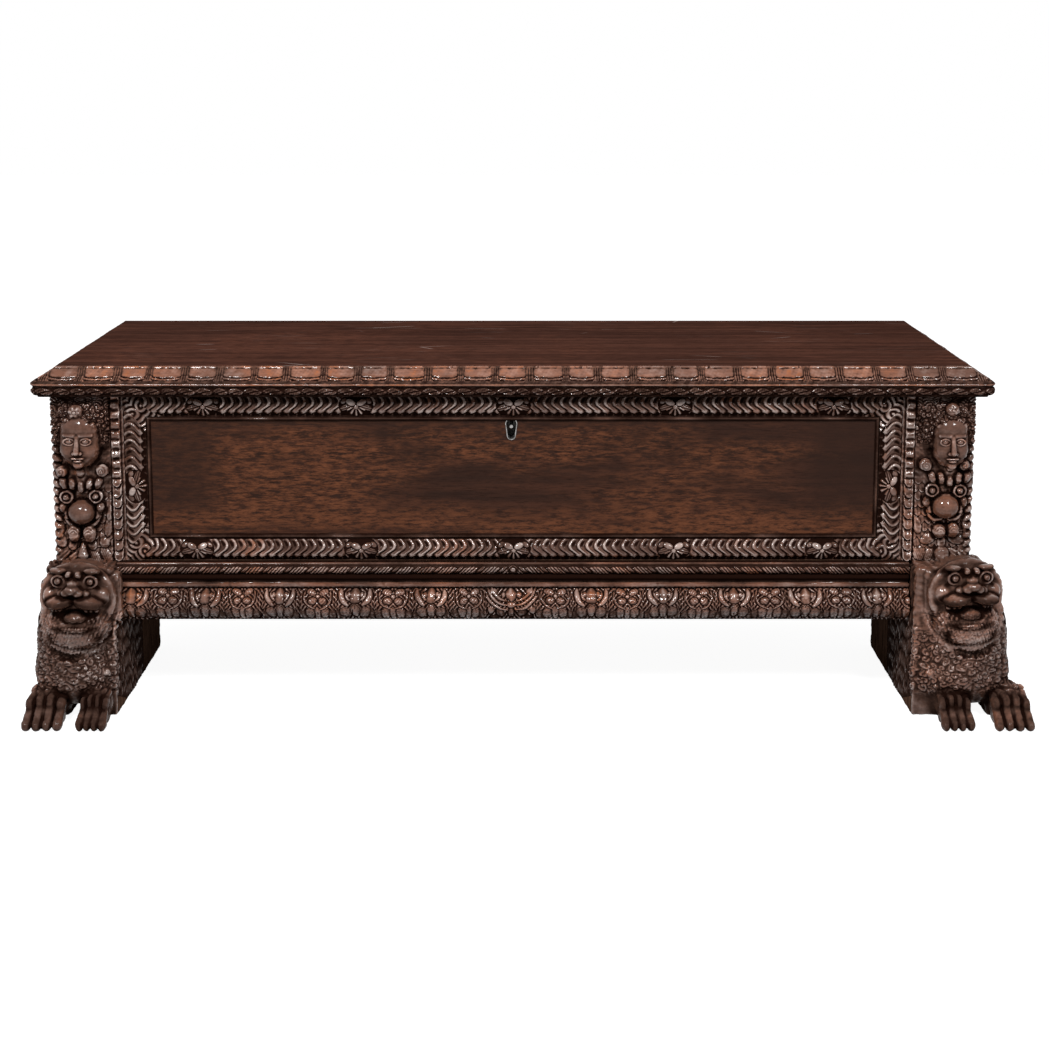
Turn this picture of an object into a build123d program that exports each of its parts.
from build123d import *
import os

# Carved walnut cassone on two lion feet, in millimetres.
# Working frame: X to the viewer's right from the chest's middle, Y to the rear
# from the front plane of the carcase, Z up from the floor.  The finished solids
# are shifted together so that the origin is the bottom centre of the whole.

# ---------------------------------------------------------------- sizes
# carcase
carcase_w = 1650.0
carcase_d = 525.0
carcase_h = 304.0
wall_t = 25.0            # front, back and end boards
panel_recess = 14.0      # boards lie this far behind the carved frames
post_w = 129.0
post_d = 57.0
post_ground = 10.0       # ground of the herm carving, behind the front plane
rear_stile_w = 70.0
rear_stile_d = 45.0
tongue = 8.0             # boards enter the posts by this much
bottom_t = 20.0
bottom_count = 3

# carved frame and bead around each panel
torus_w = 40.0
torus_edge = 4.0         # height of the torus' square edge above the board
bead_w = 8.0
bead_proud = 6.0

# plinth
foot_h = 164.0
frieze_h = 65.0
frieze_proud = 20.0      # swell of the frieze in front of the carcase plane
frieze_edge = 6.0
cove_h = 22.0
cove_proud = 8.0
cove_fillet = 5.0
cove_groove = 5.0
cove_fillet_set = 1.0    # the fillet lies this far behind the bead
rope_h = 22.0
rope_proud = 11.0
rail_t = 27.0            # plain frame behind the plinth mouldings
rail_set = 8.0           # its face lies this far behind the carcase plane
bearer_w = 60.0
bearer_t = 30.0
bearer_count = 3
plinth_gap = 4.0         # from the front mouldings' ends to the lion blocks
plinth_side_y = 92.0     # where the side mouldings meet the lion blocks

# lid
lid_gap = 0.3
lid_t = 50.7
lid_side_over = 29.0
lid_front_over = 27.0
lid_rear_over = 8.0
lid_board_t = 30.0
rim_run = 40.0           # from the nose to the top arris
rim_seat = 20.0          # ledge of the rim under the boards
rim_slope_end = 33.0     # from the arris to the foot of the sloping band
rim_step = 12.0          # underside strip's ground, behind the nose
rim_band_foot = 1.0      # the sloping band's foot above the nose
nose_r = 4.5
nose_up = 23.5           # nose centre above the lid's underside
nose_back = 2.0          # length of the nose's rounding
under_strip_t = 10.0
under_strip_up = 4.0
under_strip_round = 3.0
lid_rail_w = 48.0
cleat_w = 55.0
cleat_t = 18.0
cleat_x = 500.0
cleat_end = 28.0         # clearance from the rim and from the rear rail

# hinges
hinge_x = 480.0
hinge_w = 60.0
leaf_t = 3.0
leaf_h = 84.0
lid_leaf_d = 38.0
knuckle_r = 6.5
pin_r = 3.5
pin_head = 2.0
pin_head_r = 5.0
pin_clear = 0.05
knuckle_gap = 0.5
mid_knuckle = 22.0
hinge_stand = 16.0       # axis behind the back board
nail_r = 2.0
nail_head_r = 5.0
nail_head_t = 1.5
nail_l = 16.0
hinge_nail_in = 12.0     # from the leaf's side edge
hinge_nail_drop = 30.0   # below the carcase top
hinge_nail_low = 68.0    # the lowest nail
plate_nail_in = 9.0      # from the lock plate's edges

# lock
keyhole_x = -3.0
keyhole_drop = 45.0      # top of the keyhole below the carcase top
keyhole_h = 37.0
keyhole_w = 18.5
keyhole_foot_w = 13.0
lining_t = 1.5
lining_proud = 1.5
key_post_r = 3.0
key_post_drop = 15.0     # below the top of the keyhole
key_post_in = 3.0        # tip behind the board's face
plate_w = 150.0
plate_h = 92.0
plate_t = 3.0
plate_drop = 5.0         # plate top below the carcase top
case_w = 110.0
case_d = 19.0
case_wall = 2.5
case_foot = 6.0          # the case ends above the plate's foot
bolt_l = 60.0
bolt_h = 12.0
bolt_t = 6.0
bolt_travel = 20.0
bolt_clear = 0.3
bolt_drop = 28.0         # bolt axis below the carcase top
bolt_short = 3.0         # the drawn bolt ends this far from the staple
talon_w = 4.0
talon_clear = 3.0        # from the keeper when the bolt is thrown
talon_h = 7.0
keeper_w = 6.0
keeper_in = 6.0          # the bolt's ends stand out of the keepers by this much
keeper_wall = 4.0
spring_t = 1.2
spring_rise = 9.0
spring_lap = 5.0         # the spring's tip lies on the bolt's tail by this much
staple_x = 24.0          # inner face of the staple from the lock's middle
staple_w = 6.0
staple_bar = 2.4
staple_hole = 8.0
staple_clear = 1.0
staple_side_clear = 1.6
staple_under = 1.5       # the loop's bar hangs this far below the bolt
staple_foot_x = 24.0     # the foot's reach beside the loop
staple_foot_y = 6.0      # and before and behind it

# herm carving on each front post: forms as (across, proud, up, half width, half depth,
# half height) from the middle of the carved ground and the post's foot
herm_strip_w = 20.0      # plain strip beside the frame
herm_edge_r = 9.0        # round outer edge
herm_forms = dict(
    head=(0, 0, 228, 41, 32, 62),
    hair=(0, 0, 278, 47, 24, 24),
    bust=(0, 0, 130, 44, 14, 46),
    belly=(0, 6, 93, 24, 24, 24),
    drop=(0, 0, 18, 9, 14, 18),
)
herm_pairs = dict(
    scroll=(36, 4, 160, 14, 14, 14),
    breast=(27, 4, 112, 15, 15, 15),
    lobe=(14, 0, 50, 12, 16, 20),
)

# lions: face, width and paws are measured outwards from each block's inner face
lion_face_y = -28.0
lion_head_r = 78.0
lion_head_up = 208.0
lion_len = 320.0         # rear end of each foot behind the carcase plane
lion_under = 109.0       # inner face in from the carcase's end
lion_seat_y = -24.0      # behind this the carcase rests on it
lion_back_in = 18.0      # the block is this much narrower than the chest
lion_neck_y = -10.0
lion_breast = [(-48, 236), (-55, 130), (-66, 60), (-50, 32), (-50, 0)]
lion_chest = (10, 135, 92, 105)    # (y, up, half depth, half height)
lion_chest_in = 6.0      # the chest is this much slimmer, and as far outwards
lion_belly = (-8, 72, 72, 62)
paw_front = -120.0
paw_form = (-60, 34, 46, 40)
paw_side = 1.0           # the toes stand out beside the paw
paw_gap_y = 40.0         # rear end and height of the hollow between the paws
paw_gap_h = 30.0
toe_r = 13.5
toe_count = 4
toe_back = 17.0          # each toe's knuckle behind and above its tip
toe_rise = 14.0
toe_sole = 2.0
# mask: forms as for the herm, from the head's middle and the floor
mask_forms = dict(
    jaw=(0, 44, 166, 50, 36, 37),
    nose=(0, 66, 250, 18, 18, 12),
    bridge=(0, 56, 266, 11, 18, 16),
)
mask_pairs = dict(
    lip=(22, 54, 227, 29, 28, 13),
    eye=(29, 48, 262, 13, 13, 13),
    ear=(62, 0, 252, 20, 20, 20),
)
mask_mouth = (0, 84, 197, 36, 32, 15)
mask_tongue = (0, 58, 190, 19, 20, 9)
lion_left = dict(side=-1, face=59.0, width=148.0, paws=(30.0, 116.0), paw_w=(55.0, 69.0))
lion_right = dict(side=1, face=81.0, width=176.0, paws=(66.0, 165.0), paw_w=(59.0, 68.0))

# ---------------------------------------------------------------- derived
half_w = carcase_w / 2
lion_in = half_w - lion_under
plinth_half = lion_in - plinth_gap
z_plinth = foot_h
z_cove = z_plinth + frieze_h
z_rope = z_cove + cove_h
z_base = z_rope + rope_h
z_top = z_base + carcase_h
z_lid = z_top + lid_gap
z_lid_board = z_lid + lid_t - lid_board_t
z_lid_top = z_lid + lid_t
board_y = panel_recess
inner_y = board_y + wall_t
back_y = carcase_d - wall_t
end_x = half_w - panel_recess
inner_x = end_x - wall_t
field_x = half_w - post_w          # half width between the posts
stile_y = carcase_d - rear_stile_d
lid_x = half_w + lid_side_over     # nose of the lid at each end
lid_front = -lid_front_over
lid_rear = carcase_d + lid_rear_over
hinge_y = carcase_d + hinge_stand
hinge_z = z_lid + leaf_t - knuckle_r
keyhole_top = z_top - keyhole_drop


def block(x0, x1, y0, y1, z0, z1):
    """Box between two corners."""
    low = (Align.MIN, Align.MIN, Align.MIN)
    return Pos(x0, y0, z0) * Box(x1 - x0, y1 - y0, z1 - z0, align=low)


def ball(x, y, z, r):
    """Sphere by its centre."""
    return Pos(x, y, z) * Sphere(r)


def egg(x, y, z, rx, ry, rz):
    """Ellipsoid by its centre and three half axes."""
    form = Sphere(rx) if rx == ry == rz else scale(Sphere(1.0), by=(rx, ry, rz))
    return Pos(x, y, z) * form


def bosses(x, y, z, singles, pairs):
    """Carved forms, each (across, proud, up, half axes), about a middle at x, y, z."""
    placed_forms = [(0, form) for form in singles.values()]
    placed_forms += [(sx, form) for sx in (-1, 1) for form in pairs.values()]
    return [egg(x + sx * across, y - proud, z + up, *halves)
            for sx, (across, proud, up, *halves) in placed_forms]


def rod_x(x0, x1, y, z, r):
    """Cylinder along X."""
    return Pos((x0 + x1) / 2, y, z) * Rot(0, 90, 0) * Cylinder(r, abs(x1 - x0))


def rod_y(x, y0, y1, z, r):
    """Cylinder along Y."""
    return Pos(x, (y0 + y1) / 2, z) * Rot(90, 0, 0) * Cylinder(r, abs(y1 - y0))


def rod_z(x, y, z0, z1, r):
    """Cylinder along Z."""
    return Pos(x, y, (z0 + z1) / 2) * Cylinder(r, abs(z1 - z0))


# ---------------------------------------------------------------- mouldings
def strip(profile, length, start=True, end=True):
    """Moulding: profile (across, proud) run along local Z, ends mitred inwards."""
    bar = extrude(profile, amount=length, dir=(0, 0, 1))
    if start:
        bar = split(bar, bisect_by=Plane(origin=(0, 0, 0), z_dir=(-1, 0, 1)), keep=Keep.TOP)
    if end:
        bar = split(bar, bisect_by=Plane(origin=(0, 0, length), z_dir=(-1, 0, -1)), keep=Keep.TOP)
    return bar


def placed(bar, origin, inward, along):
    """Moulding with its outer edge from origin along a direction, width inwards."""
    return Plane(origin=origin, x_dir=inward, z_dir=along) * bar


def torus_profile():
    """Carved torus on a square edge, flat back on the board."""
    top = ThreePointArc((0, torus_edge), (torus_w / 2, panel_recess), (torus_w, torus_edge))
    return make_face(Polyline((torus_w, torus_edge), (torus_w, 0), (0, 0), (0, torus_edge)) + top)


def bead_profile():
    """Small bead between the torus and the plain panel."""
    edge = bead_proud - bead_w / 2
    top = ThreePointArc((0, edge), (bead_w / 2, bead_proud), (bead_w, edge))
    return make_face(Polyline((bead_w, edge), (bead_w, 0), (0, 0), (0, edge)) + top)


def panel_frame(profile, x0, x1, z0, z1, y):
    """Four mitred strips around a rectangle that faces -Y, in the order top, left, bottom, right."""
    wide = x1 - x0
    tall = z1 - z0
    return [
        placed(strip(profile, wide), (x1, y, z1), (0, 0, -1), (-1, 0, 0)),
        placed(strip(profile, tall), (x0, y, z1), (1, 0, 0), (0, 0, -1)),
        placed(strip(profile, wide), (x0, y, z0), (0, 0, 1), (1, 0, 0)),
        placed(strip(profile, tall), (x1, y, z0), (-1, 0, 0), (0, 0, 1)),
    ]


# ---------------------------------------------------------------- keyhole
def keyhole_face(grow):
    """Tapered keyhole outline with round ends, in the XZ plane, grown outwards."""
    top_r = keyhole_w / 2
    foot_r = keyhole_foot_w / 2
    zt = keyhole_top - top_r
    zf = keyhole_top - keyhole_h + foot_r
    upper = (top_r + grow)
    lower = (foot_r + grow)
    edge = (
        ThreePointArc((-upper, zt), (0, zt + upper), (upper, zt))
        + Line((upper, zt), (lower, zf))
        + ThreePointArc((lower, zf), (0, zf - lower), (-lower, zf))
        + Line((-lower, zf), (-upper, zt))
    )
    return make_face(edge)


def keyhole_bar(grow, y0, y1):
    """The keyhole outline run from y0 to y1."""
    bar = extrude(keyhole_face(grow), amount=y1 - y0, dir=(0, 0, 1))
    return Pos(keyhole_x, y1, 0) * Rot(90, 0, 0) * bar


lining_bore = keyhole_bar(lining_t, -panel_recess, inner_y)

# ---------------------------------------------------------------- carcase
hinge_nail_x = hinge_w / 2 - hinge_nail_in
hinge_nails_back = [
    (side * hinge_x + dx, z_top - drop)
    for side in (-1, 1)
    for dx, drop in ((-hinge_nail_x, hinge_nail_drop), (hinge_nail_x, hinge_nail_drop), (0, hinge_nail_low))
]
plate_top = z_top - plate_drop
plate_nails = [
    (keyhole_x + sx * (plate_w / 2 - plate_nail_in), z)
    for sx in (-1, 1)
    for z in (plate_top - plate_nail_in, plate_top - plate_h + plate_nail_in)
]
nail_depth = nail_l - nail_head_t


def front_board():
    """Plain front panel board, tongued into the posts, pierced for the key."""
    board = block(-field_x - tongue, field_x + tongue, board_y, inner_y, z_base, z_top)
    board -= lining_bore
    for x, z in plate_nails:
        board -= rod_y(x, inner_y - nail_depth + plate_t, inner_y, z, nail_r)
    return board


def back_board():
    """Plain back board between the rear stiles."""
    reach = half_w - rear_stile_w + tongue
    board = block(-reach, reach, back_y, carcase_d, z_base, z_top)
    for x, z in hinge_nails_back:
        board -= rod_y(x, carcase_d - nail_depth + leaf_t, carcase_d, z, nail_r)
    return board


def end_board(side):
    """End board, tongued into the front post and the rear stile."""
    xs = sorted((side * inner_x, side * end_x))
    return block(*xs, post_d - tongue, stile_y + tongue, z_base, z_top)


def rear_stile(side):
    """Square rear corner stile with grooves for the back and end boards."""
    xs = sorted((side * (half_w - rear_stile_w), side * half_w))
    stile = block(*xs, stile_y, carcase_d, z_base, z_top)
    stile -= back_board()
    stile -= end_board(side)
    return stile


def herm_post(side):
    """Front corner post carved as a herm: head, scrolls, breasts, belly and drops."""
    xs = sorted((side * field_x, side * half_w))
    post = block(*xs, post_ground, post_d, z_base, z_top)
    mid = side * (half_w - (post_w - herm_strip_w) / 2)
    for form in bosses(mid, post_ground, z_base, herm_forms, herm_pairs):
        post += form
    post += rod_z(side * (half_w - herm_edge_r), post_ground, z_base, z_top, herm_edge_r)
    post -= block(-lid_x, lid_x, -post_d, post_d, z_base - post_w, z_base)
    post -= block(-lid_x, lid_x, -post_d, post_d, z_top, z_top + post_w)
    post -= front_board()
    post -= end_board(side)
    return post


def bottom_boards():
    """Long planks that lie between the walls, flush with their lower edges."""
    width = (back_y - inner_y) / bottom_count
    names = ["bottom_board_front", "bottom_board_middle", "bottom_board_rear"]
    planks = {}
    for i, name in enumerate(names):
        y0 = inner_y + i * width
        plank = block(-inner_x, inner_x, y0, y0 + width, z_base, z_base + bottom_t)
        for side in (-1, 1):
            plank -= herm_posts[side]
            plank -= rear_stiles[side]
        planks[name] = plank
    return planks


# ---------------------------------------------------------------- plinth
def swell_profile(height, proud, edge):
    """Torus for the plinth: flat back at the rail, (height, proud) section."""
    depth = rail_set
    top = ThreePointArc((0, depth + edge - proud / 2), (height / 2, depth + proud),
                        (height, depth + edge - proud / 2))
    low = depth + edge - proud / 2
    return make_face(Polyline((height, low), (height, 0), (0, 0), (0, low)) + top)


def cove_profile():
    """Plain moulding: bead above a groove and a fillet."""
    full = rail_set + cove_proud
    foot = cove_fillet + cove_groove
    bead = cove_h - foot
    face = full - cove_fillet_set
    arc = ThreePointArc((foot, full - bead / 2), (foot + bead / 2, full), (cove_h, full - bead / 2))
    path = Polyline((cove_h, full - bead / 2), (cove_h, 0), (0, 0), (0, face), (cove_fillet, face),
                    (cove_fillet, full - bead / 2), (foot, full - bead / 2))
    return make_face(path + arc)


def plinth_strips(profile, z):
    """Front, left and right lengths of one plinth moulding, from its lower edge up."""
    side_len = carcase_d - plinth_side_y
    side_x = half_w - rail_set
    front = placed(strip(profile, 2 * plinth_half, False, False), (-plinth_half, rail_set, z),
                   (0, 0, 1), (1, 0, 0))
    left = placed(strip(profile, side_len, False, False), (-side_x, carcase_d, z),
                  (0, 0, 1), (0, -1, 0))
    right = placed(strip(profile, side_len, False, False), (side_x, plinth_side_y, z),
                   (0, 0, 1), (0, 1, 0))
    return {"front": front, "left": left, "right": right}


def base_rails():
    """Plain frame behind the plinth mouldings, under the carcase walls."""
    y0 = rail_set
    y1 = rail_set + rail_t
    x1 = half_w - rail_set
    x0 = x1 - rail_t
    return {
        "base_rail_front": block(-plinth_half, plinth_half, y0, y1, z_plinth, z_base),
        "base_rail_rear": block(-x1, x1, carcase_d - rail_t, carcase_d, z_plinth, z_base),
        "base_rail_left": block(-x1, -x0, plinth_side_y, carcase_d - rail_t, z_plinth, z_base),
        "base_rail_right": block(x0, x1, plinth_side_y, carcase_d - rail_t, z_plinth, z_base),
    }


def bottom_bearers():
    """Bearers across the plinth frame that carry the bottom boards."""
    y0 = rail_set + rail_t
    y1 = carcase_d - rail_t
    pitch = 2 * plinth_half / (bearer_count + 1)
    bars = []
    for i in range(bearer_count):
        x = -plinth_half + (i + 1) * pitch
        bars.append(block(x - bearer_w / 2, x + bearer_w / 2, y0, y1, z_base - bearer_t, z_base))
    return bars


# ---------------------------------------------------------------- lions
def lion_foot(side, face, width, paws, paw_w):
    """Couchant lion block: mask and mane in front, toes on the floor, plain flank behind."""
    chest = lion_in + width
    face = lion_in + face
    paws = [lion_in + paw for paw in paws]
    mid = (lion_in + chest) / 2
    half = (chest - lion_in) / 2
    outline = make_face(Polyline(
        (lion_len, 0), (lion_len, z_plinth), (plinth_side_y, z_plinth), (plinth_side_y, z_base),
        (lion_neck_y, z_base), *lion_breast, (lion_len, 0)))
    y, up, *halves = lion_chest
    forms = [egg(mid + lion_chest_in, y, up, half - lion_chest_in, *halves)]
    y, up, *halves = lion_belly
    forms.append(egg(mid, y, up, half, *halves))
    forms.append(ball(face, lion_face_y, lion_head_up, lion_head_r))
    forms += bosses(face, lion_face_y, 0, mask_forms, mask_pairs)
    for centre, paw in zip(paws, paw_w):
        y, up, *halves = paw_form
        forms.append(egg(centre, y, up, paw / 2 - paw_side, *halves))
        pitch = (paw - 2 * toe_r) / (toe_count - 1)
        tip = paw_front + toe_r
        for i in range(toe_count):
            x = centre - paw / 2 + toe_r + i * pitch
            forms.append(ball(x, tip, toe_r - toe_sole, toe_r))
            forms.append(ball(x, tip + toe_back, toe_r - toe_sole + toe_rise, toe_r))
    body = Pos(lion_in, 0, 0) * (Plane.YZ * extrude(outline, amount=chest - lion_back_in - lion_in))
    lion = body + forms
    # open mouth with its tongue, and the hollow under the chest between the two paws
    lion -= bosses(face, lion_face_y, 0, dict(mouth=mask_mouth), {})
    lion += bosses(face, lion_face_y, 0, dict(tongue=mask_tongue), {})
    gap0 = paws[0] + paw_w[0] / 2
    gap1 = paws[1] - paw_w[1] / 2
    lion -= block(gap0, gap1, paw_front, paw_gap_y, -1, paw_gap_h)
    # room for the carcase, its posts and the plinth mouldings
    over = 2 * lion_head_r
    lion -= block(lion_in - over, chest + over, lion_seat_y, lion_len + over, z_base, z_base + over)
    lion -= block(lion_in - over, lion_in, paw_front, lion_len + over, z_plinth, z_base + over)
    lion -= block(lion_in - over, chest + over, plinth_side_y, lion_len + over, z_plinth, z_base)
    lion -= block(lion_in - over, chest + over, paw_front, lion_len, -over, 0)
    if side < 0:
        lion = mirror(lion, about=Plane.YZ)
    return lion


# ---------------------------------------------------------------- lid
def rim_profile():
    """Lid edge, (inwards from the nose, up from the underside): slope, nose, strip ground."""
    top = lid_t
    board = lid_t - lid_board_t
    foot_in = rim_run - rim_slope_end
    foot_up = nose_up + nose_r
    nose_in = foot_in - nose_back
    nose = ThreePointArc((nose_in, foot_up), (0, nose_up), (nose_in, nose_up - nose_r))
    path = Polyline(
        (nose_in, nose_up - nose_r), (rim_step, nose_up - nose_r), (rim_step, 0),
        (rim_run + rim_seat, 0), (rim_run + rim_seat, board), (rim_run, board), (rim_run, top),
        (foot_in, foot_up + rim_band_foot), (nose_in, foot_up))
    return make_face(path + nose)


def under_profile():
    """Small carved strip under the nose, against the rim's ground and the nose's underside."""
    inner = rim_step
    outer = rim_step - under_strip_t
    edge = outer + under_strip_round
    low = under_strip_up
    high = nose_up - nose_r
    arc = ThreePointArc((edge, high), (outer, (low + high) / 2), (edge, low))
    return make_face(Polyline((edge, low), (inner, low), (inner, high), (edge, high)) + arc)


def lid_strips(profile):
    """Front, left and right lengths of a lid moulding, mitred at the front corners."""
    depth = lid_rear - lid_front
    return {
        "front": placed(strip(profile, 2 * lid_x), (-lid_x, lid_front, z_lid), (0, 1, 0), (1, 0, 0)),
        "left": placed(strip(profile, depth, False, True), (-lid_x, lid_rear, z_lid),
                       (1, 0, 0), (0, -1, 0)),
        "right": placed(strip(profile, depth, True, False), (lid_x, lid_front, z_lid),
                        (-1, 0, 0), (0, 1, 0)),
    }


def lid_boards():
    """Two planks side by side inside the rim."""
    reach = lid_x - rim_run
    y0 = lid_front + rim_run
    seam = (y0 + lid_rear) / 2
    return {
        "lid_board_front": block(-reach, reach, y0, seam, z_lid_board, z_lid_top),
        "lid_board_rear": block(-reach, reach, seam, lid_rear, z_lid_board, z_lid_top),
    }


lid_nails = [(side * hinge_x + dx, lid_rear - lid_leaf_d / 2) for side in (-1, 1)
             for dx in (-hinge_nail_x, hinge_nail_x)]
rail_half = lid_x - rim_run - rim_seat


def lid_rail():
    """Plain rail under the rear edge, let in for the hinge leaves."""
    rail = block(-rail_half, rail_half, lid_rear - lid_rail_w, lid_rear, z_lid, z_lid_board)
    for side in (-1, 1):
        x = side * hinge_x
        rail -= block(x - hinge_w / 2, x + hinge_w / 2, lid_rear - lid_leaf_d, lid_rear + 1,
                      z_lid - 1, z_lid + leaf_t)
    for x, y in lid_nails:
        rail -= rod_z(x, y, z_lid, z_lid + nail_l, nail_r)
    return rail


def lid_cleat(side):
    """Batten across the planks on the inside."""
    y0 = lid_front + rim_run + rim_seat + cleat_end
    y1 = lid_rear - lid_rail_w - cleat_end
    x = side * cleat_x
    bar = block(x - cleat_w / 2, x + cleat_w / 2, y0, y1, z_lid_board - cleat_t, z_lid_board)
    return chamfer(bar.faces().sort_by(Axis.Z)[0].edges(), cleat_t / 3)


# ---------------------------------------------------------------- hinges
def knuckle(x0, x1):
    """One barrel of the hinge, bored for the pin."""
    barrel = rod_x(x0, x1, hinge_y, hinge_z, knuckle_r)
    return barrel - rod_x(x0 - 1, x1 + 1, hinge_y, hinge_z, pin_r + pin_clear)


def back_leaf(side):
    """Iron leaf nailed to the back board, with the two outer knuckles."""
    x = side * hinge_x
    low = hinge_z - knuckle_r
    leaf = block(x - hinge_w / 2, x + hinge_w / 2, carcase_d, carcase_d + leaf_t,
                 z_top - leaf_h, low + leaf_t)
    outer = [(-hinge_w / 2, -mid_knuckle / 2 - knuckle_gap), (mid_knuckle / 2 + knuckle_gap, hinge_w / 2)]
    bore = rod_x(x - hinge_w, x + hinge_w, hinge_y, hinge_z, pin_r + pin_clear)
    for x0, x1 in outer:
        leaf += block(x + x0, x + x1, carcase_d, hinge_y, low, low + leaf_t) - bore
        leaf += knuckle(x + x0, x + x1)
    for nx, nz in hinge_nails_back:
        leaf -= rod_y(nx, carcase_d - 1, carcase_d + leaf_t + 1, nz, nail_r)
    return leaf


def lid_leaf(side):
    """Iron leaf let into the lid's rear rail, with the middle knuckle."""
    x = side * hinge_x
    top = z_lid + leaf_t
    leaf = block(x - hinge_w / 2, x + hinge_w / 2, lid_rear - lid_leaf_d, lid_rear, z_lid, top)
    leaf += block(x - mid_knuckle / 2, x + mid_knuckle / 2, lid_rear, hinge_y, z_lid, top)
    leaf -= rod_x(x - hinge_w, x + hinge_w, hinge_y, hinge_z, pin_r + pin_clear)
    leaf += knuckle(x - mid_knuckle / 2, x + mid_knuckle / 2)
    for nx, ny in lid_nails:
        leaf -= rod_z(nx, ny, z_lid - 1, top + 1, nail_r)
    return leaf


def hinge_pin(side):
    """Pin through the three knuckles, with a low head at each end."""
    x = side * hinge_x
    pin = rod_x(x - hinge_w / 2 - pin_head, x + hinge_w / 2 + pin_head, hinge_y, hinge_z, pin_r)
    for sx in (-1, 1):
        x0 = x + sx * hinge_w / 2
        pin += rod_x(x0, x0 + sx * pin_head, hinge_y, hinge_z, pin_head_r)
    return pin


# ---------------------------------------------------------------- lock
case_back = inner_y + plate_t + case_d
bolt_y = inner_y + plate_t + case_d / 2
bolt_z = z_top - bolt_drop
bolt_x1 = keyhole_x + staple_x - bolt_short
bolt_x0 = bolt_x1 - bolt_l
keeper_x1 = bolt_x1 - keeper_in - keeper_w
talon_x1 = keeper_x1 - talon_clear - bolt_travel
staple_x0 = keyhole_x + staple_x
loop_half = staple_hole / 2 + staple_bar
staple_low = bolt_z - bolt_h / 2 - staple_under - staple_bar


def lock_case():
    """Iron plate and open-backed case behind the front board, slotted for the staple."""
    x0 = keyhole_x - plate_w / 2
    case = block(x0, x0 + plate_w, inner_y, inner_y + plate_t, plate_top - plate_h, plate_top)
    cx0 = keyhole_x - case_w / 2
    case_low = plate_top - plate_h + case_foot
    case += block(cx0, cx0 + case_w, inner_y, case_back, case_low, plate_top)
    case -= block(cx0 + case_wall, cx0 + case_w - case_wall, inner_y + plate_t, case_back - case_wall,
                  case_low + case_wall, plate_top - case_wall)
    slot = loop_half + staple_side_clear
    case -= block(staple_x0 - staple_clear, staple_x0 + staple_w + staple_clear,
                  bolt_y - slot, bolt_y + slot, plate_top - 2 * case_wall, plate_top + 1)
    case -= keyhole_bar(0, inner_y - 1, inner_y + plate_t + 1)
    for x, z in plate_nails:
        case -= rod_y(x, inner_y - 1, inner_y + plate_t + 1, z, nail_r)
    # keepers that the bolt slides in
    half_t = bolt_t / 2 + bolt_clear
    half_h = bolt_h / 2 + bolt_clear
    wall = keeper_wall - bolt_clear
    for x in (bolt_x0 + keeper_in, keeper_x1):
        keeper = block(x, x + keeper_w, inner_y + plate_t, case_back - case_wall,
                       bolt_z - half_h - wall, bolt_z + half_h + wall)
        keeper -= block(x - 1, x + keeper_w + 1, bolt_y - half_t, bolt_y + half_t,
                        bolt_z - half_h, bolt_z + half_h)
        case += keeper
    return case


def lock_bolt():
    """Sliding bolt, drawn back; the key lifts its talon."""
    bar = block(bolt_x0, bolt_x1, bolt_y - bolt_t / 2, bolt_y + bolt_t / 2,
                bolt_z - bolt_h / 2, bolt_z + bolt_h / 2)
    talon = block(talon_x1 - talon_w, talon_x1, bolt_y - bolt_t / 2, bolt_y + bolt_t / 2,
                  bolt_z - bolt_h / 2 - talon_h, bolt_z - bolt_h / 2)
    return bar + talon


def lock_spring():
    """Flat spring riveted to the case, bowed over the bolt."""
    x0 = keyhole_x - case_w / 2 + case_wall
    x1 = bolt_x0 + spring_lap
    mid = (x0 + x1) / 2
    z0 = bolt_z + bolt_h / 2 + bolt_clear
    under = ThreePointArc((x0, z0 + spring_rise), (mid, z0 + spring_rise / 4), (x1, z0))
    over = ThreePointArc((x1, z0 + spring_t), (mid, z0 + spring_rise / 4 + spring_t),
                         (x0, z0 + spring_rise + spring_t))
    tip = Line((x1, z0), (x1, z0 + spring_t))
    root = Line((x0, z0 + spring_rise + spring_t), (x0, z0 + spring_rise))
    blade = extrude(make_face(under + tip + over + root), amount=bolt_t, dir=(0, 0, 1))
    return Pos(0, bolt_y + bolt_t / 2, 0) * Rot(90, 0, 0) * blade


def lock_staple():
    """Loop that hangs from the lid and drops into the lock for the bolt."""
    loop = block(staple_x0, staple_x0 + staple_w, bolt_y - loop_half, bolt_y + loop_half,
                 staple_low, z_lid)
    loop -= block(staple_x0 - 1, staple_x0 + staple_w + 1, bolt_y - staple_hole / 2,
                  bolt_y + staple_hole / 2, staple_low + staple_bar, z_top - plate_drop - 1)
    x0 = staple_x0 - staple_foot_x
    x1 = staple_x0 + staple_w + staple_foot_x
    y0 = bolt_y - loop_half - staple_foot_y
    y1 = bolt_y + loop_half + staple_foot_y
    foot = block(x0, x1, y0, y1, z_lid, z_lid + leaf_t)
    web = block(x0, x1, y0, y1, z_lid + leaf_t, z_lid_board)
    return loop + foot, web


def lock_parts():
    """Keyhole lining and key post."""
    lining = keyhole_bar(lining_t, board_y - lining_proud, inner_y)
    lining -= keyhole_bar(0, board_y - lining_proud - 1, inner_y + 1)
    post_z = keyhole_top - key_post_drop
    post = rod_y(keyhole_x, board_y + key_post_in, case_back - case_wall, post_z, key_post_r)
    return lining, post


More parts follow.
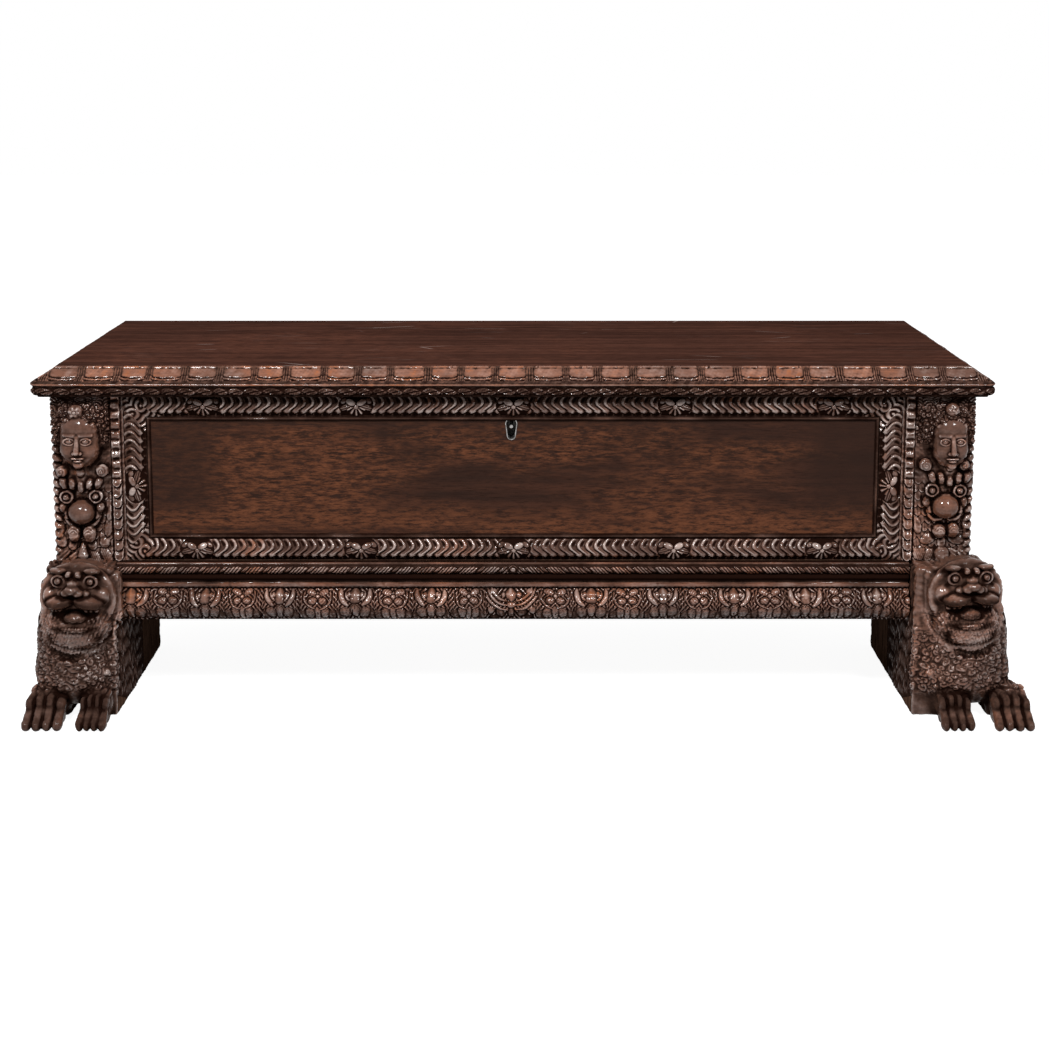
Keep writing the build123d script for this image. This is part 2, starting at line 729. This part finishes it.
# ---------------------------------------------------------------- assembly
herm_posts = {side: herm_post(side) for side in (-1, 1)}
rear_stiles = {side: rear_stile(side) for side in (-1, 1)}
nodes = {
    "front_board": front_board(),
    "back_board": back_board(),
    "left_end_board": end_board(-1),
    "right_end_board": end_board(1),
    "left_herm_post": herm_posts[-1],
    "right_herm_post": herm_posts[1],
    "left_rear_stile": rear_stiles[-1],
    "right_rear_stile": rear_stiles[1],
}
nodes.update(bottom_boards())

frame_names = ["frame_top", "frame_left", "frame_bottom", "frame_right"]
key_cut = keyhole_bar(lining_t, -panel_recess, board_y)
front_torus = panel_frame(torus_profile(), -field_x, field_x, z_base, z_top, board_y)
for name, bar in zip(frame_names, front_torus):
    nodes[name] = bar
inset = torus_w
front_bead = panel_frame(bead_profile(), -field_x + inset, field_x - inset,
                         z_base + inset, z_top - inset, board_y)
front_bead[0] = front_bead[0] - key_cut
nodes["panel_bead"] = front_bead

side_len = stile_y - post_d
for name, side in (("left", -1), ("right", 1)):
    turn = Pos(side * end_x, (post_d + stile_y) / 2, 0) * Rot(0, 0, 90 * side)
    torus = panel_frame(torus_profile(), -side_len / 2, side_len / 2, z_base, z_top, 0)
    bead = panel_frame(bead_profile(), -side_len / 2 + inset, side_len / 2 - inset,
                       z_base + inset, z_top - inset, 0)
    nodes[name + "_end_frame"] = [turn * bar for bar in torus]
    nodes[name + "_end_bead"] = [turn * bar for bar in bead]

rope = swell_profile(rope_h, rope_proud, rope_proud / 2)
frieze = swell_profile(frieze_h, frieze_proud, frieze_edge)
for where, bar in plinth_strips(rope, z_rope).items():
    nodes["rope_strip_" + where] = bar
for where, bar in plinth_strips(cove_profile(), z_cove).items():
    nodes["plain_moulding_" + where] = bar
for where, bar in plinth_strips(frieze, z_plinth).items():
    nodes["frieze_" + where] = bar
nodes.update(base_rails())
nodes["bottom_bearers"] = bottom_bearers()
nodes["left_lion_foot"] = lion_foot(**lion_left)
nodes["right_lion_foot"] = lion_foot(**lion_right)

for where, bar in lid_strips(rim_profile()).items():
    nodes["lid_rim_" + where] = bar
nodes["lid_under_strips"] = list(lid_strips(under_profile()).values())
nodes.update(lid_boards())
nodes["lid_rear_rail"] = lid_rail()
for name, side in (("left", -1), ("right", 1)):
    nodes[name + "_lid_cleat"] = lid_cleat(side)
    nodes[name + "_hinge_back_leaf"] = back_leaf(side)
    nodes[name + "_hinge_lid_leaf"] = lid_leaf(side)
    nodes[name + "_hinge_pin"] = hinge_pin(side)

staple, staple_block = lock_staple()
for node in ("lid_board_front", "lid_rim_front"):
    staple_block -= nodes[node]
nodes["lock_case"] = lock_case()
nodes["lock_bolt"] = lock_bolt()
nodes["lock_spring"] = lock_spring()
nodes["lock_staple"] = staple
nodes["staple_block"] = staple_block
nodes["keyhole_lining"], nodes["key_post"] = lock_parts()

back_nails = [
    rod_y(x, carcase_d - nail_depth + leaf_t, carcase_d + leaf_t, z, nail_r)
    + rod_y(x, carcase_d + leaf_t, carcase_d + leaf_t + nail_head_t, z, nail_head_r)
    for x, z in hinge_nails_back
]
case_nails = [
    rod_y(x, inner_y - nail_depth + plate_t, inner_y + plate_t, z, nail_r)
    + rod_y(x, inner_y + plate_t, inner_y + plate_t + nail_head_t, z, nail_head_r)
    for x, z in plate_nails
]
nodes["iron_nails"] = back_nails + case_nails
nodes["lid_nails"] = [rod_z(x, y, z_lid, z_lid + nail_l, nail_r) for x, y in lid_nails]

# ---------------------------------------------------------------- export
left_reach = lion_left["paws"][1] + lion_left["paw_w"][1] / 2
right_reach = lion_right["paws"][1] + lion_right["paw_w"][1] / 2
rear_reach = hinge_y + knuckle_r
shift = Pos((left_reach - right_reach) / 2, -(paw_front + rear_reach) / 2, 0)

os.makedirs("parts", exist_ok=True)
for name, shape in nodes.items():
    pieces = shape if isinstance(shape, list) else [shape]
    solids = [shift * solid for piece in pieces for solid in piece.solids()]
    export_step(Compound(children=solids) if len(solids) > 1 else solids[0], f"parts/{name}.step")
print(len(nodes), "nodes")
